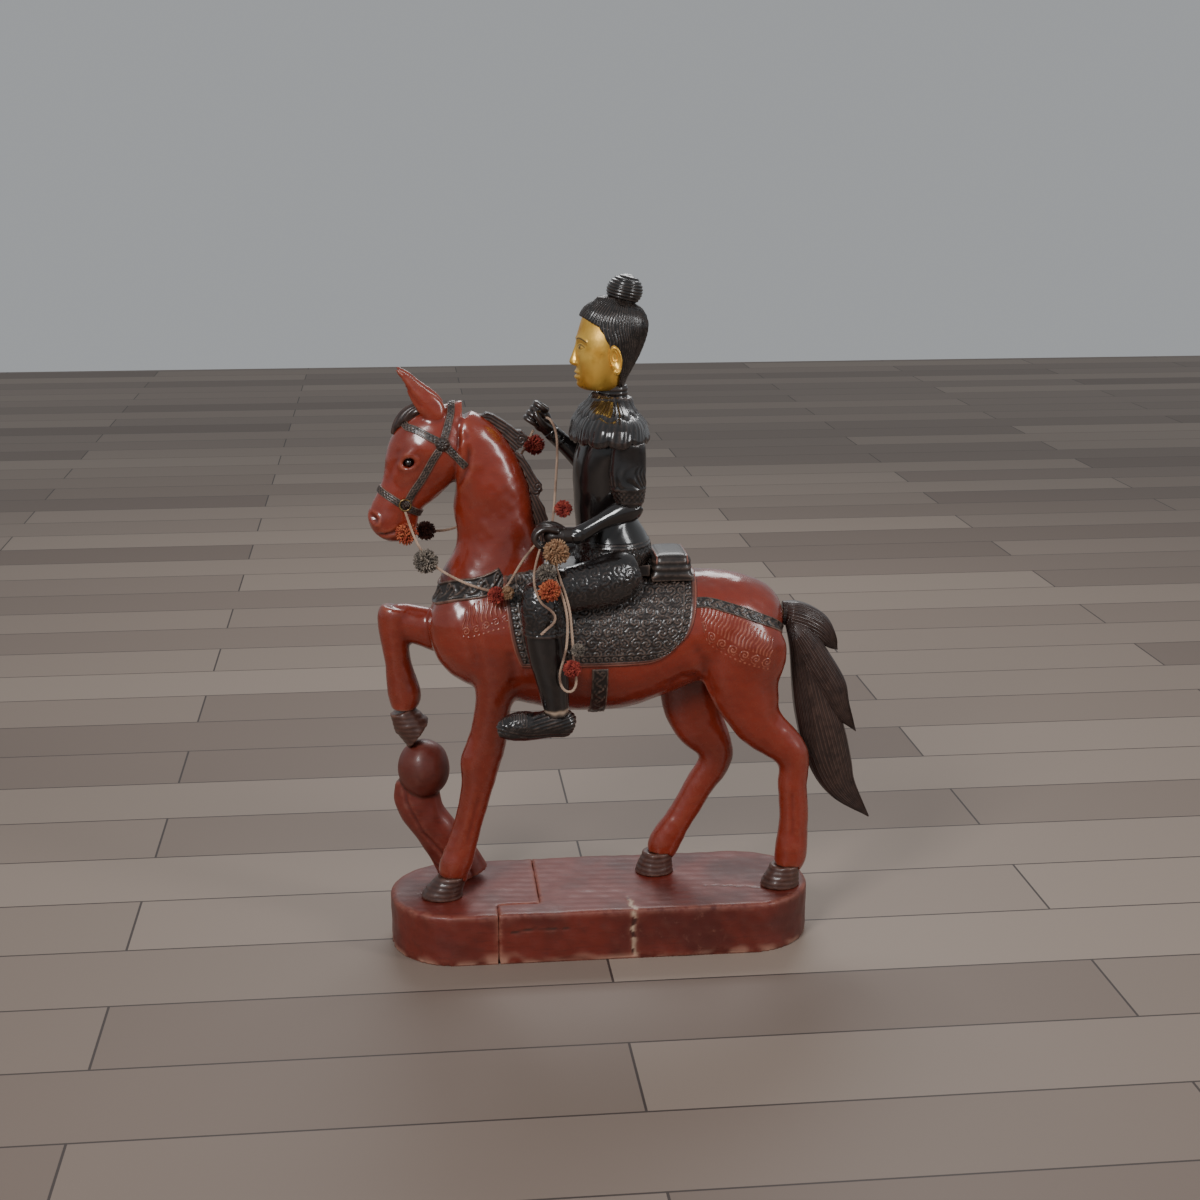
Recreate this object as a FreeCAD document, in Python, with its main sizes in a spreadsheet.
"""Carved and lacquered wooden horse with a rider, on a plinth of two lapped blocks.

Frame: origin at the centre of the plinth's underside, +Z up, the horse looks along -X,
its left side is towards -Y.  All lengths are in millimetres.
"""
import FreeCAD, Part
import Sketcher
import math
import os
from FreeCAD import Vector

doc = FreeCAD.newDocument("HorseAndRider")

# ---------------------------------------------------------------- driving dimensions
SIZES = {
    # plinth
    "plinth_long": 666, "plinth_wide": 228, "plinth_thick": 82, "plinth_corner": 108,
    "plinth_edge": 6, "lap_near": -169, "lap_far": -102, "lap_step": 42,
    "dowel_round": 16, "dowel_long": 70,
    # horse: barrel, neck and head
    "barrel_up": 406, "barrel_long": 554, "barrel_deep": 224, "barrel_wide": 166,
    "neck_wide": 92, "head_wide": 78, "ear_long": 74, "ear_thick": 9, "eye_round": 15,
    "mane_thick": 16,
    # horse: legs
    "fore_spread": 56, "hind_spread": 76, "far_fore_side": 46, "cannon_wide": 40,
    "hoof_tall": 36, "hoof_wide": 56, "peg_round": 12, "peg_long": 64,
    # prop under the raised hoof
    "prop_side": 50, "prop_ball": 82, "prop_ball_tall": 94, "prop_wide": 46,
    # tail
    "tail_thick": 46, "tail_peg_round": 11, "tail_peg_long": 58, "tail_peg_up": 521,
    "peg_play": 0.1,
    # tack
    "cloth_thick": 5, "strap_thick": 3.5, "strap_wide": 16, "bridle_wide": 11,
    "bridle_thick": 3, "girth_wide": 22, "collar_wide": 30,
    "cantle_long": 64, "cantle_wide": 96, "cantle_tall": 34,
    "ring_round": 17, "ring_wire": 3,
    # rider
    "seat_up": 596, "shoulder_up": 226, "shoulder_wide": 156, "chest_wide": 128,
    "waist_wide": 104, "arm_wide": 46, "forearm_wide": 27, "thigh_wide": 64, "shin_wide": 46,
    "shoe_wide": 38, "head_tall": 132, "face_wide": 86, "knot_wide": 54, "cape_thick": 5, "hair_thick": 5,
    # cords and tufts
    "cord_round": 4,
}
sheet = doc.addObject("Spreadsheet::Sheet", "Sizes")
for row, (alias, value) in enumerate(SIZES.items(), 1):
    sheet.set(f"A{row}", alias)
    sheet.set(f"B{row}", str(value))
    sheet.setAlias(f"B{row}", alias)
doc.recompute()


def size(alias):
    """One driving dimension, read back from the sheet."""
    return float(sheet.get(alias))


DECK = size("plinth_thick")                     # top of the plinth
BARREL = DECK + size("barrel_up")               # height of the barrel's axis
SEAT = BARREL - 488 + size("seat_up")           # top of the saddle under the rider
SHOULDER = SEAT + size("shoulder_up")           # rider's shoulders
CHIN = SHOULDER + 54                            # underside of the rider's jaw
NEAR = -1                                       # the horse's left, towards -Y
FAR = 1

nodes = {}


def keep(item, label):
    """Name a finished piece."""
    item.Label = label
    nodes[label] = item
    return item


def feature(name, shape):
    """A carved form that no primitive or sketch gives."""
    item = doc.addObject("Part::Feature", name)
    item.Shape = shape
    item.Placement = FreeCAD.Placement()
    return item


def cut(name, base, *tools):
    """Base less each tool in turn."""
    for index, tool in enumerate(tools):
        item = doc.addObject("Part::Cut", f"{name}_cut{index}")
        item.Base = base
        item.Tool = tool
        base = item
    return base


def common(name, first, second):
    item = doc.addObject("Part::MultiCommon", name)
    item.Shapes = [first, second]
    return item


def fuse(name, *items):
    item = doc.addObject("Part::MultiFuse", name)
    item.Shapes = list(items)
    return item


def group(name, *items):
    """Separate solids that share one node."""
    item = doc.addObject("Part::Compound", name)
    item.Links = list(items)
    return item


def place(item, x, y, z, axis=Vector(0, 0, 1), angle=0.0):
    item.Placement = FreeCAD.Placement(Vector(x, y, z), FreeCAD.Rotation(axis, angle))
    return item


def dowel(name, start, end, across):
    """Round peg from start to end; its radius is bound to the sheet."""
    item = doc.addObject("Part::Cylinder", name)
    item.setExpression("Radius", f"Sizes.{across} / 2")
    along = end - start
    item.Height = along.Length
    turned = FreeCAD.Rotation(Vector(0, 0, 1), 20)      # keeps its seam off the mid plane
    item.Placement = FreeCAD.Placement(start, FreeCAD.Rotation(Vector(0, 0, 1), along) * turned)
    return item


def ball(name, centre, across):
    item = doc.addObject("Part::Sphere", name)
    item.setExpression("Radius", across)
    return place(item, centre.x, centre.y, centre.z)


# ---------------------------------------------------------------- carved forms
OVAL_POINTS = 12


def oval(centre, along, tall, wide):
    """Closed oval square to `along`: half size `tall` in the XZ plane, `wide` across it."""
    rise = along.cross(Vector(0, 1, 0))
    rise.normalize()
    points = []
    for step in range(OVAL_POINTS):
        turn = 2 * math.pi * step / OVAL_POINTS
        points.append(centre + rise * (tall * math.cos(turn)) + Vector(0, wide * math.sin(turn), 0))
    curve = Part.BSplineCurve()
    curve.interpolate(Points=points, PeriodicFlag=True)
    return Part.Wire([curve.toShape()])


def limb(stations, grow=0.0):
    """Loft through ovals (x, z, half tall, y, half wide) that turn with the line of centres."""
    centres = [Vector(x, y, z) for x, z, tall, y, wide in stations]
    wires = []
    for index, (x, z, tall, y, wide) in enumerate(stations):
        before = centres[max(index - 1, 0)]
        after = centres[min(index + 1, len(centres) - 1)]
        along = after - before
        along.y = 0
        along.normalize()
        centre = centres[index]
        if grow and index == 0:
            centre = centre - along * grow
        if grow and index == len(stations) - 1:
            centre = centre + along * grow
        wires.append(oval(centre, along, tall + grow, wide + grow))
    return Part.makeLoft(wires, True, False)


def panel(outline, low, high):
    """Prism across the object: outline in XZ, from Y = low to Y = high."""
    corners = [Vector(x, low, z) for x, z in outline]
    wire = Part.makePolygon(corners + corners[:1])
    return Part.Face(wire).extrude(Vector(0, high - low, 0))


# ---------------------------------------------------------------- plinth
def plinth():
    """Thick board with round ends, lapped from a front and a main block."""
    body = doc.addObject("PartDesign::Body", "PlinthBoard")
    sketch = body.newObject("Sketcher::SketchObject", "PlinthOutline")
    floor = [f for f in body.Origin.OriginFeatures if f.Role == "XY_Plane"][0]
    sketch.AttachmentSupport = [(floor, "")]
    sketch.MapMode = "FlatFace"
    half_x = size("plinth_long") / 2
    half_y = size("plinth_wide") / 2
    corners = [(-half_x, -half_y), (half_x, -half_y), (half_x, half_y), (-half_x, half_y)]
    for index in range(4):
        start = Vector(*corners[index], 0)
        end = Vector(*corners[(index + 1) % 4], 0)
        sketch.addGeometry(Part.LineSegment(start, end))
    for index in range(4):
        sketch.addConstraint(Sketcher.Constraint("Coincident", index, 2, (index + 1) % 4, 1))
    for index in (0, 2):
        sketch.addConstraint(Sketcher.Constraint("Horizontal", index))
        sketch.addConstraint(Sketcher.Constraint("Vertical", index + 1))
    sketch.addConstraint(Sketcher.Constraint("Symmetric", 0, 1, 2, 1, -1, 1))
    long_row = sketch.addConstraint(Sketcher.Constraint("DistanceX", 0, 1, 0, 2, 2 * half_x))
    wide_row = sketch.addConstraint(Sketcher.Constraint("DistanceY", 1, 1, 1, 2, 2 * half_y))
    sketch.setExpression(f"Constraints[{long_row}]", "Sizes.plinth_long")
    sketch.setExpression(f"Constraints[{wide_row}]", "Sizes.plinth_wide")
    pad = body.newObject("PartDesign::Pad", "PlinthPad")
    pad.Profile = sketch
    pad.setExpression("Length", "Sizes.plinth_thick")
    doc.recompute()
    corner = body.newObject("PartDesign::Fillet", "PlinthCorners")
    corner.Base = (pad, [name for name, edge in edges_of(pad) if upright(edge)])
    corner.setExpression("Radius", "min(Sizes.plinth_corner; Sizes.plinth_wide / 2 - 1)")
    doc.recompute()
    edge_round = body.newObject("PartDesign::Fillet", "PlinthEdge")
    edge_round.Base = (corner, [name for name, edge in edges_of(corner) if on_top(edge)])
    edge_round.setExpression("Radius", "Sizes.plinth_edge")
    doc.recompute()

    near_part = doc.addObject("Part::Box", "LapNear")
    far_part = doc.addObject("Part::Box", "LapFar")
    for item, reach in ((near_part, "lap_near"), (far_part, "lap_far")):
        item.setExpression("Length", f"Sizes.plinth_long / 2 + Sizes.{reach}")
        item.setExpression("Height", "Sizes.plinth_thick")
        item.setExpression("Placement.Base.x", "-Sizes.plinth_long / 2")
    near_part.setExpression("Width", "Sizes.plinth_wide")
    near_part.setExpression("Placement.Base.y", "-Sizes.plinth_wide / 2")
    far_part.setExpression("Width", "Sizes.plinth_wide - Sizes.lap_step")
    far_part.setExpression("Placement.Base.y", "-Sizes.plinth_wide / 2 + Sizes.lap_step")
    lap = fuse("Lap", near_part, far_part)
    return common("FrontBlock", body, lap), cut("MainBlock", body, lap)


def edges_of(item):
    return [(f"Edge{index + 1}", edge) for index, edge in enumerate(item.Shape.Edges)]


def upright(edge):
    return edge.BoundBox.ZLength > size("plinth_thick") / 2


def on_top(edge):
    return edge.BoundBox.ZMin > size("plinth_thick") - 0.01


def plinth_dowels():
    """Two long dowels that pin the lap, one on each side of the step."""
    half = size("dowel_long") / 2
    pins = []
    for name, seam, y in (("DowelNear", size("lap_near"), -size("plinth_wide") / 2 + size("lap_step") / 2),
                          ("DowelFar", size("lap_far"), size("plinth_wide") / 4)):
        pins.append(dowel(name, Vector(seam - half, y, DECK / 2), Vector(seam + half, y, DECK / 2),
                          "dowel_round"))
    return group("PlinthDowels", *pins)


# ---------------------------------------------------------------- horse
def trunk_stations():
    """Barrel from chest to croup: place, height, depth and width of each oval."""
    deep = size("barrel_deep") / 2
    wide = size("barrel_wide") / 2
    run = size("barrel_long") / 554
    shape = (
        (-262, 42, 0.11, 0.23), (-250, 40, 0.43, 0.55), (-225, 36, 0.70, 0.76),
        (-180, 28, 0.875, 0.90), (-120, 15, 0.965, 0.965), (-40, 1, 1.0, 1.0),
        (30, 0, 0.98, 1.0), (100, 12, 0.866, 0.98), (170, 22, 0.75, 0.965),
        (220, 22, 0.66, 0.874), (258, 15, 0.50, 0.667), (275, 9, 0.27, 0.39), (281, 7, 0.07, 0.12),
    )
    return [(x * run, BARREL + up, tall * deep, 0, across * wide) for x, up, tall, across in shape]


def neck_stations():
    wide = size("neck_wide") / 2
    shape = (
        (-165, 72, 80, 1.30), (-158, 127, 72, 1.13), (-156, 162, 63, 1.0), (-161, 197, 59, 0.91),
        (-166, 230, 60, 0.88), (-176, 262, 57, 0.87), (-190, 292, 54, 0.84), (-208, 318, 47, 0.80),
        (-222, 334, 38, 0.70),
    )
    return [(x, BARREL + up, tall, 0, across * wide) for x, up, tall, across in shape]


def head_stations():
    wide = size("head_wide") / 2
    shape = (
        (-188, 350, 20, 0.40), (-206, 345, 30, 0.58), (-222, 336, 38, 0.74), (-236, 324, 50, 0.92),
        (-252, 308, 57, 1.0), (-268, 285, 56, 0.97),
        (-286, 250, 44, 0.80), (-303, 224, 35, 0.68), (-314, 198, 37, 0.70), (-326, 179, 28, 0.62),
        (-331, 171, 13, 0.36),
    )
    return [(x, BARREL + up, tall, 0, across * wide) for x, up, tall, across in shape]


def leg(stations, side, spread, swell=1.0):
    """Leg stations (x, share of the barrel's height, half tall, y share, half wide share)."""
    rise = size("barrel_up")
    wide = size("cannon_wide") / 2 * swell
    return [(x, DECK + share * rise, tall, side * spread * y, wide * across)
            for x, share, tall, y, across in stations]


LEFT_FORE = ((-152, 1.10, 36, 1.5, 1.30), (-154, 1.00, 44, 1.6, 1.50), (-160, 0.90, 40, 1.5, 1.50),
             (-166, 0.81, 30, 1.35, 1.38), (-172, 0.72, 28, 1.2, 1.22), (-178, 0.635, 29, 1.1, 1.18),
             (-188, 0.55, 30, 1.0, 1.20), (-194, 0.463, 25, 1.0, 1.05), (-200, 0.389, 22.5, 1.0, 1.0),
             (-211, 0.29, 21.5, 1.0, 0.98), (-221, 0.204, 23, 1.0, 1.03), (-229, 0.143, 24.5, 1.0, 1.1),
             (-232.5, 0.07, 20, 1.0, 0.95))
RIGHT_FORE_UPPER = ((-170, 1.03, 52, 0.9, 1.6), (-205, 1.02, 48, 1.0, 1.55), (-232, 1.015, 40, 1.0, 1.4),
                    (-262, 1.03, 32, 1.0, 1.25), (-292, 1.05, 30, 1.0, 1.15), (-322, 1.06, 24, 1.0, 1.0))
RIGHT_FORE_LOWER = ((-311, 1.115, 24, 1.0, 0.98), (-315, 1.05, 26, 1.0, 1.12), (-315, 0.96, 21, 1.0, 1.0),
                    (-310, 0.86, 21.5, 1.0, 0.97), (-304, 0.78, 25, 1.0, 1.05), (-305, 0.71, 18, 1.0, 0.9))
LEFT_HIND = ((213, 1.13, 34, 1.0, 0.5), (217, 1.01, 62, 1.22, 1.85), (217, 0.90, 64, 1.20, 1.80),
             (222, 0.795, 52, 1.14, 1.55), (240, 0.70, 41, 1.08, 1.32), (268, 0.615, 33, 1.02, 1.12),
             (299, 0.537, 26.5, 1.0, 1.0), (303, 0.46, 23, 1.0, 0.92), (304, 0.352, 22.5, 1.0, 0.88),
             (305, 0.249, 23, 1.0, 0.92), (303, 0.17, 25, 1.0, 1.02), (297, 0.07, 20, 1.0, 0.95))
RIGHT_HIND = ((190, 1.12, 34, 1.0, 0.5), (182, 0.99, 60, 1.22, 1.80), (166, 0.86, 60, 1.20, 1.75),
              (152, 0.745, 52, 1.14, 1.55), (160, 0.635, 43, 1.08, 1.3), (180, 0.55, 34, 1.02, 1.12),
              (191, 0.48, 27, 1.0, 1.0), (180, 0.41, 24.5, 1.0, 0.95), (160, 0.335, 22.5, 1.0, 0.9),
              (133, 0.22, 22, 1.0, 0.92), (112, 0.135, 25, 1.0, 1.02), (101, 0.07, 20, 1.0, 0.95))


def hoof(name, x, side, heel, toe):
    """Hoof under a leg: a short cone that spreads to the sole."""
    tall = size("hoof_tall")
    wide = size("hoof_wide") / 2
    middle = (heel + toe) / 2
    reach = (heel - toe) / 2
    stations = [(middle, DECK, reach, side, wide),
                (middle, DECK + tall * 0.18, reach * 0.97, side, wide * 0.97),
                (x, DECK + tall, 23, side, wide * 0.78)]
    wires = [oval(Vector(px, py, pz), Vector(0, 0, -1), tall_, wide_)
             for px, pz, tall_, py, wide_ in stations]
    return feature(name, Part.makeLoft(wires, True, True))


def prop():
    """Scroll that carries the raised hoof: a ball held in a curled leaf on a foot."""
    y = size("prop_side")
    wide = size("prop_wide") / 2
    up = DECK
    stem = feature("PropStem", limb([
        (-214, up, 40, y, wide), (-226, up + 28, 37, y, wide), (-246, up + 62, 34, y, wide),
        (-268, up + 95, 33, y, wide), (-284, up + 125, 36, y, wide * 0.95),
        (-292, up + 158, 36, y, wide * 0.8),
        (-306, up + 176, 20, y, wide * 0.6)]))
    return fuse("PropWhole", stem, prop_ball())


def prop_ball():
    item = doc.getObject("PropBall")
    if not item:
        item = doc.addObject("Part::Ellipsoid", "PropBall")
        item.setExpression("Radius1", "Sizes.prop_ball_tall / 2")
        item.setExpression("Radius2", "Sizes.prop_ball / 2")
        item.setExpression("Radius3", "Sizes.prop_ball / 2")
        place(item, -276, size("prop_side"), DECK + 187)
    return item


def plinth_space():
    """The room below the deck, kept by the plinth."""
    if not doc.getObject("PlinthSpace"):
        box = doc.addObject("Part::Box", "PlinthSpace")
        box.setExpression("Length", "Sizes.plinth_long * 2")
        box.setExpression("Width", "Sizes.plinth_wide * 2")
        box.setExpression("Height", "Sizes.plinth_thick * 2")
        box.setExpression("Placement.Base.x", "-Sizes.plinth_long")
        box.setExpression("Placement.Base.y", "-Sizes.plinth_wide")
        box.setExpression("Placement.Base.z", "-Sizes.plinth_thick")
    return doc.getObject("PlinthSpace")


def raised_hoof():
    """Hoof bent back under the raised leg, one corner on the ball."""
    y = size("far_fore_side")
    wide = size("hoof_wide") / 2
    low = DECK + 247
    wires = [oval(Vector(-308, y, low + 38), Vector(0.3, 0, -1), 20, wide * 0.70),
             oval(Vector(-300, y, low + 20), Vector(0.6, 0, -0.8), 25, wide * 0.86),
             oval(Vector(-283, y, low + 0), Vector(0.79, 0, -0.61), 28, wide * 0.95)]
    return feature("RaisedHoofForm", Part.makeLoft(wires, True, True))


def ear(name, side):
    up = BARREL
    long = size("ear_long") / 74
    thick = size("ear_thick")
    return feature(name, limb([
        (-246, up + 352, 15, side * 20, thick), (-252, up + 366, 18, side * 20, thick),
        (-252 - 14 * long, up + 366 + 16 * long, 15.5, side * 20, thick * 0.9),
        (-252 - 32 * long, up + 366 + 38 * long, 9, side * 19, thick * 0.6),
        (-252 - 51 * long, up + 366 + 58 * long, 2, side * 18, thick * 0.25)]))


MANE_UPPER = ((-190, 350), (-180, 354), (-170, 356), (-155, 351), (-140, 339), (-128, 331), (-115, 327),
              (-109, 317), (-118, 304), (-130, 297), (-150, 285), (-178, 318))
MANE_LOWER = ((-150, 285), (-130, 297), (-116, 290), (-106, 275), (-98, 260), (-88, 246), (-88, 238),
              (-94, 229), (-84, 210), (-79, 190), (-79, 166), (-84, 148), (-100, 140), (-112, 180),
              (-116, 230))


def raise_by(outline, up):
    return [(x, z + up) for x, z in outline]


# ---------------------------------------------------------------- tack on the carved forms
SEATING = 0.9                                   # tack lies this far above the wood


def reach(forms, origin, heading):
    """Where a ray from inside leaves the last of the forms."""
    heading = Vector(heading)
    heading.normalize()
    line = Part.LineSegment(origin, origin + heading * size("plinth_wide"))
    skins = [face.Surface for form in forms for face in form.Shape.Faces
             if isinstance(face.Surface, Part.BSplineSurface)]
    hits = [Vector(hit.X, hit.Y, hit.Z) for skin in skins for hit in line.intersectCS(skin)[0]]
    if not hits:                                # the ray leaves through a flat end
        hits = [end.Point for form in forms for end in line.toShape().common(form.Shape).Vertexes]
    return origin + heading * max((hit - origin).Length for hit in hits)


def strap(forms, rays, wide, thick):
    """Flat strap over the wood, through rays (x, up, dx, dy, dz) from points on the mid plane."""
    origins = [Vector(x, 0, BARREL + up) for x, up, dx, dy, dz in rays]
    middles = [reach(forms, origin, ray[2:]) for origin, ray in zip(origins, rays)]
    wires = []
    for index, (origin, ray) in enumerate(zip(origins, rays)):
        heading = Vector(*ray[2:])
        heading.normalize()
        along = middles[min(index + 1, len(rays) - 1)] - middles[max(index - 1, 0)]
        if abs(heading.y) < 1e-6:
            along = Vector(0, 1, 0)
        side = along.cross(heading)
        side.normalize()
        edges = [reach(forms, origin + side * (shift * wide / 2), heading) for shift in (-1, 1)]
        lift = along.cross(edges[1] - edges[0])
        lift.normalize()
        if lift.dot(heading) < 0:
            lift = -lift
        bottom = [edge + lift * SEATING for edge in edges]
        top = [edge + lift * (SEATING + thick) for edge in edges]
        wires.append(Part.makePolygon([bottom[0], bottom[1], top[1], top[0], bottom[0]]))
    return Part.makeLoft(wires, True, False)


def pair(name, *shapes):
    """Near-side solids and their mirror images, as one feature."""
    solids = []
    for shape in shapes:
        solids.append(shape)
        solids.append(shape.mirror(Vector(0, 0, 0), Vector(0, 1, 0)))
    return feature(name, Part.makeCompound(solids))


BLANKET_RAYS = 25


def blanket(name, forms, planes, half_turn, thick, middle_turn=0):
    """Thick sheet wrapped over the wood: planes (x, lean), rays up to half_turn each way."""
    wires = []
    for x, lean in planes:
        origin = Vector(x, 0, BARREL + 8)
        up = Vector(lean, 0, 1)
        up.normalize()
        inner = []
        outer = []
        for step in range(BLANKET_RAYS):
            turn = math.radians(middle_turn - half_turn + 2 * half_turn * step / (BLANKET_RAYS - 1))
            heading = up * math.cos(turn) + Vector(0, math.sin(turn), 0)
            hit = reach(forms, origin, heading)
            inner.append(hit + heading * SEATING)
            outer.append(hit + heading * (SEATING + thick))
        over = Part.BSplineCurve()
        over.interpolate(outer)
        under = Part.BSplineCurve()
        under.interpolate(inner[::-1])
        wires.append(Part.Wire([over.toShape(), Part.makeLine(outer[-1], inner[-1]), under.toShape(),
                                Part.makeLine(inner[0], outer[0])]))
    return feature(name, Part.makeLoft(wires, True, False))


# Saddle cloth: place of each cross plane on the barrel's axis and its lean.
CLOTH_PLANES = ((-133, -0.10), (-115, -0.09), (-95, -0.08), (-70, -0.06), (-40, -0.03), (-10, 0), (20, 0),
                (50, 0.02), (75, 0.05), (95, 0.08), (112, 0.11), (128, 0.14))


def girth_planes():
    half = size("girth_wide") / 2
    return ((-8 - half, 0), (-8, 0), (-8 + half, 0))


CRUPPER = ((137, 30, 0, -1, 0.62), (160, 30, 0, -1, 0.60), (185, 25, 0, -1, 0.55), (210, 20, 0, -1, 0.50),
           (232, 15, 0.1, -1, 0.42), (248, 12, 0.35, -1, 0.32), (258, 8, 1, -1, 0.1), (262, 6, 1, -0.55, 0))
COLLAR = ((-151, 98, 0, -1, 0.32), (-165, 96, 0, -1, 0.22), (-182, 94, -0.1, -1, 0.12),
          (-200, 92, -0.45, -1, 0.05), (-205, 88, -1, -0.9, 0), (-205, 84, -1, -0.5, 0),
          (-205, 82, -1, -0.2, 0), (-205, 82, -1, 0, 0))
BRIDLE = {
    "cheek": ((-243, 307, 0, -1, 0), (-252, 294, 0, -1, 0), (-262, 276, 0, -1, 0), (-272, 259, 0, -1, 0),
              (-283, 243, 0, -1, 0)),
    "crown": ((-235, 325, 0, -1, 0), (-230, 330, 0, -1, 0.35), (-226, 332, 0, -1, 0.9),
              (-224, 334, 0, -0.6, 1), (-223, 335, 0, -0.25, 1), (-222, 335, 0, 0, 1)),
    "brow": ((-246, 321, 0, -1, 0), (-256, 326, 0, -1, 0), (-262, 326, -0.5, -1, 0.35),
             (-264, 322, -1, -0.9, 0.7), (-264, 320, -1, -0.4, 0.8), (-264, 319, -1, 0, 0.85)),
    "throat": ((-229, 308, 0, -1, 0), (-221, 299, 0, -1, 0), (-212, 290, 0, -1, 0), (-204, 281, 0, -1, 0)),
}
NOSE = ((-303, 226, -1, 0, 0.62), (-303, 226, -1, -0.35, 0.62), (-303, 226, -1, -1, 0.62),
        (-303, 226, -0.3, -1, 0.19), (-303, 226, 0.3, -1, -0.19), (-303, 226, 1, -1, -0.62),
        (-303, 226, 1, -0.35, -0.62), (-303, 226, 1, 0, -0.62))


# ---------------------------------------------------------------- tail
def tail_stations():
    thick = size("tail_thick") / 2
    shape = (
        (290, 33, 17, 0.45), (299, 32, 23, 0.60), (314, 20, 33, 0.85), (330, -8, 38, 1.0),
        (342, -40, 40, 1.0), (348, -80, 44, 0.98), (353, -112, 45, 0.95), (360, -150, 44, 0.9),
        (365, -190, 37, 0.8), (376, -232, 27, 0.65), (398, -272, 23, 0.5), (420, -294, 14, 0.32),
        (436, -309, 5, 0.14),
    )
    return [(x, BARREL + up, tall, 0, across * thick) for x, up, tall, across in shape]


# ---------------------------------------------------------------- rider
def torso_stations():
    chest = size("chest_wide") / 2
    waist = size("waist_wide") / 2
    up = size("shoulder_up") / 226
    shape = (
        (20, 16, 53, waist * 1.20), (20, 36, 58, waist * 1.25), (13, 66, 49, waist * 1.06),
        (8, 92, 46, waist), (8, 124, 48, waist * 1.12), (10, 164, 50, chest), (13, 202, 44, chest * 1.04),
        (16, 226, 33, chest * 0.86), (18, 244, 22, chest * 0.5), (19, 256, 21, chest * 0.34),
    )
    return [(x, SEAT + z * up, tall, 0, across) for x, z, tall, across in shape]


def head_form(grow=0.0):
    """Skull and jaw on plain proportions."""
    tall = size("head_tall") / 132
    wide = size("face_wide") / 2
    shape = (
        (2, 0, 20, 0.46), (0, 8, 31, 0.64), (3, 26, 38, 0.84), (9, 52, 45, 0.97), (15, 80, 50, 1.0),
        (19, 100, 48, 0.97), (19, 116, 42, 0.88), (18, 128, 29, 0.62), (17, 133, 15, 0.32),
    )
    ends = {shape[0][1]: -grow, shape[-1][1]: grow}
    wires = [oval(Vector(x, 0, CHIN + z * tall + ends.get(z, 0)), Vector(0, 0, 1), deep + grow,
                  across * wide + grow) for x, z, deep, across in shape]
    return Part.makeLoft(wires, True, False)


def cape_stations():
    """Short stiff collar that covers the tops of both arms."""
    half = size("shoulder_wide") / 2
    return [(x, SHOULDER + z, tall, 0, half + wide) for x, z, tall, wide in (
        (14, -14, 59, 29), (14, 6, 55, 27), (15, 22, 42, 1), (17, 36, 31, -38), (18, 43, 29, -47))]


def cape_room():
    thick = size("cape_thick")
    inner = [(x, z, tall - thick, y, wide - thick) for x, z, tall, y, wide in cape_stations()]
    lowest = (inner[0][0], inner[0][1] - 2, *inner[0][2:])
    highest = (inner[-1][0], inner[-1][1] + 2, *inner[-1][2:])
    return limb([lowest, *inner[1:-1], highest])


def left_arm():
    side = -size("shoulder_wide") / 2
    wide = size("arm_wide") / 2
    thin = size("forearm_wide") / 2
    upper = limb([
        (30, SHOULDER + 11, 10, side * 0.88, wide * 0.5), (32, SHOULDER + 3, 20, side * 0.96, wide * 0.95),
        (34, SHOULDER - 30, 26, side, wide), (33, SHOULDER - 70, 27, side * 1.02, wide * 1.02),
        (36, SHOULDER - 98, 22, side * 1.03, wide * 0.85), (38, SHOULDER - 116, 14, side * 1.03, wide * 0.6)])
    fore = limb([
        (50, SHOULDER - 104, 12, side * 1.03, thin * 0.9), (38, SHOULDER - 112, 19, side * 1.04, thin * 1.3),
        (8, SHOULDER - 124, 15, side * 1.05, thin * 1.12),
        (-25, SHOULDER - 142, 12.5, side * 1.06, thin * 0.9),
        (-52, SHOULDER - 153, 11.5, side * 1.06, thin * 0.85)])
    return upper, fore


def left_hand():
    side = -size("shoulder_wide") / 2 * 1.06
    thin = size("forearm_wide") / 2
    return limb([
        (-44, SHOULDER - 150, 11, side, thin * 0.8), (-64, SHOULDER - 153, 14, side, thin * 0.95),
        (-80, SHOULDER - 152, 17, side, thin * 1.15), (-96, SHOULDER - 152, 17, side, thin * 1.15),
        (-107, SHOULDER - 153, 11, side, thin * 0.8)])


def right_arm():
    side = size("shoulder_wide") / 2
    wide = size("arm_wide") / 2
    thin = size("forearm_wide") / 2
    upper = limb([
        (30, SHOULDER + 11, 10, side * 0.88, wide * 0.5), (30, SHOULDER + 3, 20, side * 0.96, wide * 0.95),
        (24, SHOULDER - 30, 26, side, wide), (14, SHOULDER - 62, 25, side * 1.02, wide * 0.98),
        (6, SHOULDER - 84, 20, side * 1.02, wide * 0.8)])
    fore = limb([
        (22, SHOULDER - 92, 14, side * 1.02, thin), (4, SHOULDER - 84, 20, side * 1.02, thin * 1.3),
        (-26, SHOULDER - 60, 17, side * 1.0, thin * 1.15),
        (-50, SHOULDER - 38, 13.5, side * 0.98, thin * 0.95),
        (-70, SHOULDER - 20, 12, side * 0.96, thin * 0.88)])
    return upper, fore


def right_hand():
    side = size("shoulder_wide") / 2 * 0.96
    thin = size("forearm_wide") / 2
    return limb([
        (-63, SHOULDER - 26, 11, side, thin * 0.8), (-80, SHOULDER - 12, 15, side, thin * 1.0),
        (-90, SHOULDER + 2, 20, side, thin * 1.1), (-94, SHOULDER + 16, 19, side, thin * 1.0),
        (-92, SHOULDER + 28, 11, side, thin * 0.7)])


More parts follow.
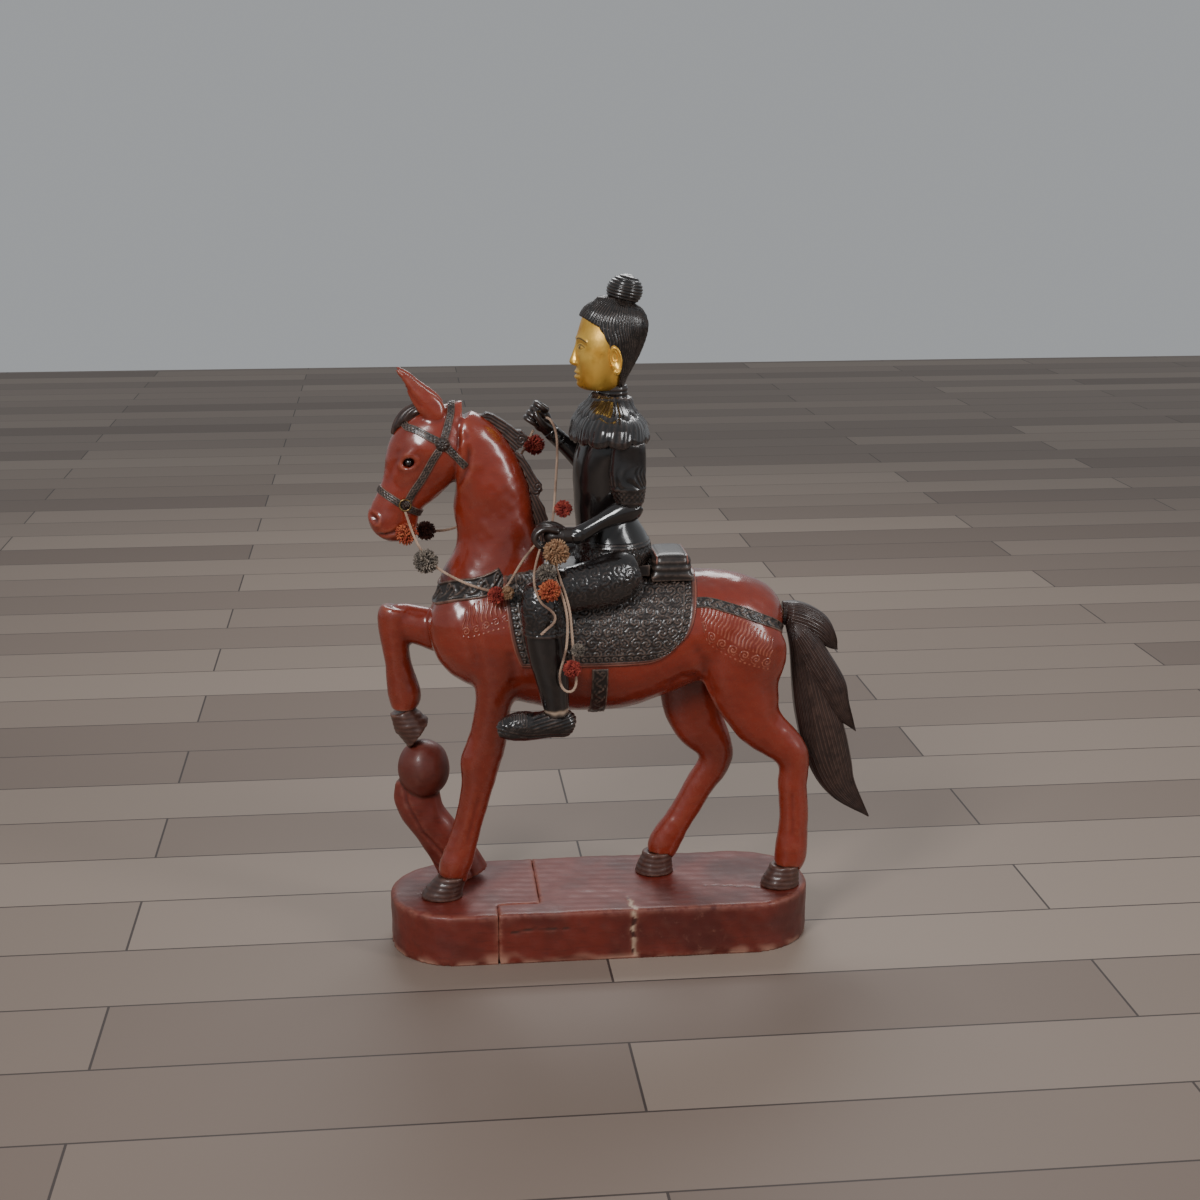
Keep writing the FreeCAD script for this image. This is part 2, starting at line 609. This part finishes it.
def rider_leg(side):
    """Thigh along the saddle, shin down the girth."""
    wide = size("thigh_wide") / 2
    thin = size("shin_wide") / 2
    thigh = limb([
        (52, SEAT + 18, 24, side * 56, wide * 0.9), (30, SEAT + 10, 38, side * 66, wide * 1.05),
        (-10, SEAT + 0, 39, side * 80, wide), (-50, SEAT - 4, 35, side * 92, wide * 0.92),
        (-85, SEAT - 10, 32, side * 100, wide * 0.84), (-108, SEAT - 16, 24, side * 103, wide * 0.7)])
    shin = limb([
        (-98, SEAT + 8, 22, side * 103, thin * 0.9), (-97, SEAT - 18, 32, side * 106, thin * 1.18),
        (-96, SEAT - 60, 30, side * 111, thin * 1.10), (-89, SEAT - 108, 28, side * 113, thin * 1.0),
        (-82, SEAT - 146, 24, side * 112, thin * 0.9), (-78, SEAT - 180, 20, side * 109, thin * 0.76),
        (-76, SEAT - 196, 18, side * 108, thin * 0.7)])
    return thigh, shin


def shoe(side):
    wide = size("shoe_wide") / 2
    return limb([
        (-50, SEAT - 212, 11, side * 108, wide * 0.5), (-57, SEAT - 210, 19, side * 108, wide * 0.8),
        (-76, SEAT - 207, 23, side * 108, wide * 0.92), (-100, SEAT - 210, 21, side * 109, wide * 0.95),
        (-128, SEAT - 210, 23, side * 110, wide), (-150, SEAT - 213, 19, side * 110, wide * 0.85),
        (-166, SEAT - 218, 9, side * 110, wide * 0.5)])


# ---------------------------------------------------------------- cords
def tube(name, route, across):
    """Cord: straight runs joined by tangent arcs, each as large as its two runs allow."""
    points = [Vector(*p) for p in route]
    edges = []
    start = points[0]
    radii = []
    for index in range(1, len(points) - 1):
        here = points[index]
        back = points[index - 1] - here
        ahead = points[index + 1] - here
        turn = math.pi - back.getAngle(ahead)
        shorter = min(back.Length, ahead.Length)
        leg_long = 0.45 * shorter
        radii.append(leg_long / math.tan(turn / 2))
        back.normalize()
        ahead.normalize()
        first = here + back * leg_long
        last = here + ahead * leg_long
        inward = back + ahead
        inward.normalize()
        from_centre = radii[-1] / math.cos(turn / 2)
        middle = here + inward * (from_centre - radii[-1])
        edges.append(Part.LineSegment(start, first).toShape())
        edges.append(Part.Arc(first, middle, last).toShape())
        start = last
    edges.append(Part.LineSegment(start, points[-1]).toShape())
    path = Part.Wire(edges)
    heading = points[1] - points[0]
    ring = Part.Wire([Part.makeCircle(across / 2, points[0], heading)])
    solid = path.makePipeShell([ring], True, False)
    print(f"{name}: length {path.Length:.0f}, smallest radius {min(radii):.1f}, "
          f"volume ratio {solid.Volume / (path.Length * math.pi * across ** 2 / 4):.3f}")
    return feature(name, solid)


# Routes of the cords, each point by hand: x, y, z in millimetres.
LEFT_REIN = ((-295, -32, 702), (-289, -38, 682), (-281, -45, 661), (-271, -52, 643), (-258, -58, 628),
             (-243, -63, 617), (-225, -68, 607), (-205, -72, 598), (-184, -75, 591), (-164, -77, 586),
             (-148, -79, 594), (-138, -81, 611), (-128, -83, 629), (-117, -84, 645), (-104, -84, 660))
RIGHT_REIN = ((-295, 32, 702), (-288, 38, 684), (-279, 44, 666), (-262, 50, 655), (-240, 56, 652),
              (-216, 62, 656), (-193, 67, 668), (-172, 70, 686), (-153, 72, 708), (-136, 74, 732),
              (-120, 75, 757), (-106, 75, 780), (-95, 75, 804))
HAND_REIN = ((-86, 73, 822), (-75, 68, 826), (-66, 60, 818), (-61, 50, 800), (-61, 38, 780),
             (-63, 24, 761), (-66, 7, 743), (-69, -12, 725), (-72, -33, 708), (-76, -54, 693),
             (-80, -72, 680))
LONG_CORD = ((-80, -90, 658), (-79, -101, 646), (-77, -113, 632), (-72, -124, 615), (-65, -134, 595),
             (-59, -139, 571), (-57, -141, 545), (-55, -142, 519), (-54, -142, 495), (-51, -142, 473),
             (-50, -142, 458), (-56, -142, 447), (-67, -142, 448), (-74, -142, 459), (-75, -142, 476),
             (-70, -143, 494), (-65, -143, 513), (-63, -143, 536), (-63, -143, 561), (-67, -140, 584),
             (-74, -134, 604), (-81, -123, 622), (-85, -110, 636), (-87, -98, 648), (-87, -86, 659))
SHORT_CORD = ((-96, -90, 660), (-102, -101, 647), (-108, -114, 631), (-111, -127, 614), (-108, -137, 597),
              (-100, -142, 582), (-88, -143, 574), (-80, -143, 564), (-83, -143, 553), (-93, -142, 545),
              (-102, -141, 536))
ROUTES = {"left_rein": LEFT_REIN, "right_rein": RIGHT_REIN, "hand_rein": HAND_REIN,
          "long_cord": LONG_CORD, "short_cord": SHORT_CORD}

# Tufts of wool on the cords: diameter and centre.  A later one gives way to the one before it.
TUFTS = {
    "left_rein_tufts": ((35, (-267, -56, 631)), (25, (-164, -84, 583)), (19, (-147, -84, 586))),
    "right_rein_tufts": ((28, (-264, 48, 655)), (31, (-94, 76, 781))),
    "hand_rein_tuft": ((25, (-60, -45, 704)),),
    "fist_tufts": ((37, (-77, -117, 654)), (28, (-92, -127, 625)), (31, (-89, -144, 603))),
    "long_cord_tufts": ((25, (-57, -149, 485)), (20, (-48, -146, 512))),
}


def tufts(name):
    """Balls of wool on one cord."""
    balls = []
    for index, (across, centre) in enumerate(TUFTS[name]):
        wool = ball(f"{name}_{index}", Vector(*centre), str(across / 2))
        balls.append(cut(f"{name}_{index}", wool, balls[-1]) if balls else wool)
    return group(name + "_group", *balls)


# ---------------------------------------------------------------- build
front_block, main_block = plinth()
lap_pins = plinth_dowels()

JOINT = 0.35                                    # glue line between carved pieces

trunk_form = feature("TrunkForm", limb(trunk_stations()))
trunk_clear = feature("TrunkClear", limb(trunk_stations(), JOINT))
neck_form = feature("NeckForm", limb(neck_stations()))
neck_clear = feature("NeckClear", limb(neck_stations(), JOINT))
head_horse_form = feature("HorseHeadForm", limb(head_stations()))
head_clear = feature("HorseHeadClear", limb(head_stations(), JOINT))

tail_z = size("tail_peg_up") - 488 + BARREL
tail_form = feature("TailForm", limb(tail_stations()))
tail_peg = dowel("TailPegForm", Vector(258, 0, tail_z), Vector(258 + size("tail_peg_long"), 0, tail_z),
                 "tail_peg_round")
tail_bore = doc.addObject("Part::Cylinder", "TailBore")
tail_bore.setExpression("Radius", "Sizes.tail_peg_round / 2 + Sizes.peg_play / 2")
tail_bore.setExpression("Height", "Sizes.tail_peg_long + 1")
tail_bore.Placement = FreeCAD.Placement(Vector(258, 0, tail_z), FreeCAD.Rotation(Vector(0, 1, 0), 90))

fore_side = size("fore_spread") / 2
hind_side = size("hind_spread") / 2
far_fore = size("far_fore_side")
peg_half = size("peg_long") / 2
pegs_x = {"left_fore": (-238, NEAR * fore_side), "left_hind": (293, NEAR * hind_side),
          "right_hind": (96, FAR * hind_side)}
foot_pegs = [dowel(f"FootPeg_{name}", Vector(x, y, DECK - peg_half), Vector(x, y, DECK + peg_half),
                   "peg_round") for name, (x, y) in pegs_x.items()]
prop_peg = dowel("PropPeg", Vector(-214, size("prop_side"), DECK - peg_half),
                 Vector(-214, size("prop_side"), DECK + peg_half), "peg_round")
feet_pins = keep(group("FootPegs", *foot_pegs, prop_peg), "foot_pegs")

keep(lap_pins, "plinth_dowels")
keep(cut("PlinthFront", front_block, lap_pins, feet_pins), "plinth_front_block")
keep(cut("PlinthMain", main_block, lap_pins, feet_pins), "plinth_main_block")

leg_pins = keep(group("LegDowels", *[
    dowel(f"LegDowel{index}", Vector(x, side * 18, z), Vector(x, side * 66, z), "dowel_round")
    for index, (x, side, z) in enumerate(((-156, NEAR, BARREL), (-190, FAR, BARREL + 8),
                                          (217, NEAR, BARREL), (182, FAR, BARREL)))]), "leg_dowels")
neck_pin = dowel("NeckDowel", Vector(-160, 0, BARREL + 60), Vector(-158, 0, BARREL + 170), "dowel_round")
head_pin = dowel("HeadDowel", Vector(-190, 0, BARREL + 290), Vector(-246, 0, BARREL + 318), "peg_round")
keep(group("NeckDowels", neck_pin, head_pin), "neck_dowels")
rider_pin = dowel("RiderDowel", Vector(18, 0, SEAT - 60), Vector(18, 0, SEAT + 60), "dowel_round")
neck_tenon = dowel("RiderNeckTenon", Vector(19, 0, SHOULDER - 6), Vector(14, 0, CHIN + 26), "dowel_round")
keep(group("RiderDowels", rider_pin, neck_tenon), "rider_dowels")


# horse: body, neck and head
keep(cut("Trunk", trunk_form, leg_pins, neck_pin, rider_pin, tail_peg), "horse_trunk")
head_room = feature("HeadRoom", panel(
    ((-205, BARREL + 400), (-400, BARREL + 400), (-400, BARREL + 100), (-245, BARREL + 100),
     (-214, BARREL + 262)), -100, 100))
neck = keep(cut("Neck", neck_form, neck_pin, head_pin, head_room, trunk_clear), "horse_neck")
eyes = keep(group("HorseEyes", *[
    ball(f"Eye{side}", Vector(-288, side * (size("head_wide") / 2 - 10), BARREL + 288), "Sizes.eye_round / 2")
    for side in (NEAR, FAR)]), "horse_eyes")
horse_head = keep(cut("HorseHead", common("HorseHeadWhole", head_horse_form, head_room), head_pin, eyes),
                  "horse_head")

hooves = {
    "left_fore_hoof": hoof("LeftForeHoof", -236, NEAR * fore_side, -220, -286),
    "left_hind_hoof": hoof("LeftHindHoof", 294, NEAR * hind_side, 316, 254),
    "right_hind_hoof": hoof("RightHindHoof", 98, FAR * hind_side, 124, 62),
}
raised = raised_hoof()
keep(cut("RaisedHoof", raised, prop_ball()), "right_fore_hoof")
left_fore_form = feature("LeftForeForm", limb(leg(LEFT_FORE, NEAR, fore_side)))
right_fore_form = fuse("RightForeForm", feature("RightForeUpper", limb(leg(RIGHT_FORE_UPPER, FAR, far_fore))),
                       feature("RightForeLower", limb(leg(RIGHT_FORE_LOWER, FAR, far_fore))))
left_hind_form = feature("LeftHindForm", limb(leg(LEFT_HIND, NEAR, hind_side)))
right_hind_form = feature("RightHindForm", limb(leg(RIGHT_HIND, FAR, hind_side)))
keep(cut("LeftFore", left_fore_form, trunk_clear, hooves["left_fore_hoof"], leg_pins, feet_pins),
     "left_foreleg")
keep(cut("RightFore", right_fore_form, trunk_clear, neck_form, raised, leg_pins), "right_foreleg")
keep(cut("LeftHind", left_hind_form, trunk_clear, hooves["left_hind_hoof"], leg_pins, feet_pins),
     "left_hind_leg")
keep(cut("RightHind", right_hind_form, trunk_clear, left_hind_form, hooves["right_hind_hoof"], leg_pins,
         feet_pins), "right_hind_leg")
keep(group("PlantedHooves", *[cut(label + "_bored", item, feet_pins) for label, item in hooves.items()]),
     "planted_hooves")
keep(cut("Prop", prop(), plinth_space(), feet_pins), "raised_hoof_prop")

# ears, mane and forelock
ears = keep(group("HorseEars", *[
    cut(f"Ear{side}_cut", ear(f"Ear{side}", side), head_clear, neck_form) for side in (NEAR, FAR)]),
    "horse_ears")
mane_half = size("mane_thick") / 2
mane_lower = feature("ManeLowerForm", panel(raise_by(MANE_LOWER, BARREL), -mane_half, mane_half))
mane_upper = feature("ManeUpperForm", panel(raise_by(MANE_UPPER, BARREL), -mane_half, mane_half))
keep(cut("ManeLower", mane_lower, neck_form), "mane_lower_lock")
keep(cut("ManeUpper", mane_upper, neck_form, head_clear, mane_lower), "mane_upper_lock")
# the tail turns on its peg
keep(cut("Tail", tail_form, tail_bore), "horse_tail")
keep(tail_peg, "tail_peg")

# saddle cloth, girth, straps
clad_form = feature("CladForm", limb(trunk_stations(), size("cloth_thick") + 3 * SEATING))
saddle_cloth = blanket("SaddleCloth", [trunk_form], CLOTH_PLANES, 112, size("cloth_thick"))
keep(cut("ClothBored", saddle_cloth, rider_pin, neck_clear), "saddle_cloth")
keep(blanket("Girth", [trunk_form], girth_planes(), 64, size("strap_thick"), 180), "girth")
keep(pair("Crupper", strap([trunk_form, left_hind_form], CRUPPER, size("strap_wide"), size("strap_thick"))),
     "crupper_strap")
keep(cut("CollarFitted", pair("Collar", strap([trunk_form, neck_form], COLLAR, size("collar_wide"),
                                                size("strap_thick"))), neck_clear), "breast_collar")

# saddle
seat_pad = doc.addObject("Part::Box", "SeatPadForm")
seat_pad.setExpression("Length", "140")
seat_pad.setExpression("Width", "Sizes.cantle_wide * 0.8")
seat_pad.Height = 46
place(seat_pad, -66, -size("cantle_wide") * 0.4, SEAT - 30)
cantle = doc.addObject("Part::Box", "CantleForm")
cantle.setExpression("Length", "Sizes.cantle_long")
cantle.setExpression("Width", "Sizes.cantle_wide")
cantle.Height = size("cantle_tall") + 60
place(cantle, 74, -size("cantle_wide") / 2, SEAT - 60)
keep(cut("SeatPad", seat_pad, rider_pin, clad_form), "saddle_seat")
keep(cut("Cantle", cantle, clad_form), "saddle_cantle")

# bridle
bridle_forms = [head_horse_form, neck_form]
thin = size("bridle_thick")
keep(pair("Headstall", *[strap(bridle_forms, line, size("bridle_wide"), thin) for line in BRIDLE.values()]),
     "bridle_headstall")
keep(pair("Noseband", strap([head_horse_form], NOSE, size("bridle_wide"), thin)), "bridle_noseband")
headstall = nodes["bridle_headstall"]
forelock = feature("ForelockForm", limb([
    (-262, BARREL + 363, 9, 0, 18), (-274, BARREL + 362, 10, 0, 19), (-292, BARREL + 350, 11, 0, 16),
    (-304, BARREL + 338, 7, 0, 10), (-310, BARREL + 326, 3, 0, 5)]))
keep(cut("Forelock", forelock, head_clear, neck_form, ears, headstall), "forelock")

rosettes = []
for side in (NEAR, FAR):
    rosette = dowel(f"Rosette{side}", Vector(-238, side * 28, BARREL + 316),
                    Vector(-238, side * 45, BARREL + 316), "ring_round")
    rosettes.append(rosette)
keep(cut("Rosettes", group("RosettePair", *rosettes), head_clear, neck_form), "bridle_rosettes")
rings = []
for side in (NEAR, FAR):
    ring = doc.addObject("Part::Torus", f"BitRing{side}")
    ring.setExpression("Radius1", "Sizes.ring_round / 2")
    ring.setExpression("Radius2", "Sizes.ring_wire / 2")
    place(ring, -295, side * 33, BARREL + 224, Vector(1, 0, 0), 90)
    rings.append(ring)
keep(cut("BitRings", group("BitRingPair", *rings), head_clear, nodes["bridle_noseband"]), "bit_rings")

# rider
torso_form = feature("TorsoForm", limb(torso_stations()))
torso_clear = feature("TorsoClear", limb(torso_stations(), JOINT))
head_rider = feature("RiderHeadForm", head_form())
keep(cut("Torso", torso_form, seat_pad, cantle, rider_pin, neck_tenon, head_rider),
     "rider_torso")
keep(cut("RiderHead", head_rider, neck_tenon), "rider_head")
HAIRLINE = ((-100, 110), (-27, 110), (-5, 97), (8, 74), (14, 49), (27, 29), (27, -30), (-100, -30))
face_window = feature("FaceWindow", panel(raise_by(HAIRLINE, CHIN), -100, 100))
knot_centre = Vector(37, 0, CHIN + 147)
knot = doc.addObject("Part::Ellipsoid", "TopknotForm")
knot.setExpression("Radius1", "Sizes.knot_wide * 0.45")
knot.setExpression("Radius2", "Sizes.knot_wide / 2")
knot.setExpression("Radius3", "Sizes.knot_wide / 2")
place(knot, knot_centre.x, 0, knot_centre.z)
hair_form = feature("HairForm", head_form(size("hair_thick")))
rider_head_clear = feature("RiderHeadClear", head_form(JOINT))
keep(cut("Hair", hair_form, rider_head_clear, torso_clear, face_window), "rider_hair")
keep(cut("Topknot", knot, hair_form, head_rider), "rider_topknot")
ELBOW_BACK = ((-12, -50), (24, -112), (24, -160), (150, -160), (150, 60), (-12, 60))
elbow_back = feature("ElbowBack", panel(raise_by(ELBOW_BACK, SHOULDER), 20, 150))
elbow_front = feature("ElbowFront", panel([(x - JOINT, SHOULDER + z) for x, z in ELBOW_BACK], 20, 150))
arms = {"left": left_arm(), "right": right_arm()}
hands = {"left": left_hand(), "right": right_hand()}
under_cape = feature("UnderCape", panel(((-120, SHOULDER - 14 - JOINT), (150, SHOULDER - 14 - JOINT),
                                         (150, SHOULDER + 60), (-120, SHOULDER + 60)), -150, 150))
for side, (upper_shape, fore_shape) in arms.items():
    upper = feature(f"{side}_upper_form", upper_shape)
    fore = feature(f"{side}_fore_form", fore_shape)
    hand = feature(f"{side}_hand_form", hands[side])
    if side == "left":
        keep(cut("left_upper", upper, torso_clear, under_cape), "rider_left_upper_arm")
        keep(cut("left_fore", fore, torso_clear, upper), "rider_left_forearm")
    else:
        above = common("right_upper_mitred", upper, elbow_back)
        keep(cut("right_upper", above, torso_clear, under_cape), "rider_right_upper_arm")
        keep(cut("right_fore", fore, torso_clear, elbow_front), "rider_right_forearm")
    keep(cut(f"{side}_hand", hand, fore), f"rider_{side}_hand")
cape_outer = feature("CapeOuter", limb(cape_stations()))
keep(cut("Cape", cape_outer, feature("CapeInner", cape_room())), "rider_cape")
shoes = []
for side, label in ((NEAR, "left"), (FAR, "right")):
    thigh_shape, shin_shape = rider_leg(side)
    whole = fuse(f"{label}_rider_leg_form", feature(f"{label}_thigh", thigh_shape),
                 feature(f"{label}_shin", shin_shape))
    keep(cut(f"{label}_rider_leg", whole, clad_form, seat_pad, cantle, torso_clear), f"rider_{label}_leg")
    shoes.append(cut(f"{label}_rider_shoe", feature(f"{label}_shoe_form", shoe(side)), whole))
keep(group("RiderShoes", *shoes), "rider_shoes")

# cords and tufts
for label, route in ROUTES.items():
    keep(tube(label, route, size("cord_round")), label)
for label in TUFTS:
    keep(tufts(label), label)
mouth = [ball(f"MouthTuft{side}", Vector(-294, side * 30, BARREL + 180), "16") for side in (NEAR, FAR)]
keep(cut("MouthTufts", group("MouthTuftPair", *mouth), head_horse_form, neck_form, nodes["bit_rings"]),
     "mouth_tufts")

# ---------------------------------------------------------------- checks and files
doc.recompute()
problems = [item.Name for item in doc.Objects if "Invalid" in item.State or "Error" in item.State]
problems += [label for label, item in nodes.items() if item.Shape.isNull() or not item.Shape.isValid()]
for label, item in nodes.items():
    print(f"{label}: solids {len(item.Shape.Solids)} volume {item.Shape.Volume / 1000:.1f} cm3")
if problems:
    raise SystemExit(f"failed objects: {problems}")
os.makedirs("parts", exist_ok=True)
for label, item in nodes.items():
    item.Shape.exportStep(f"parts/{label}.step")
print(len(nodes), "nodes")
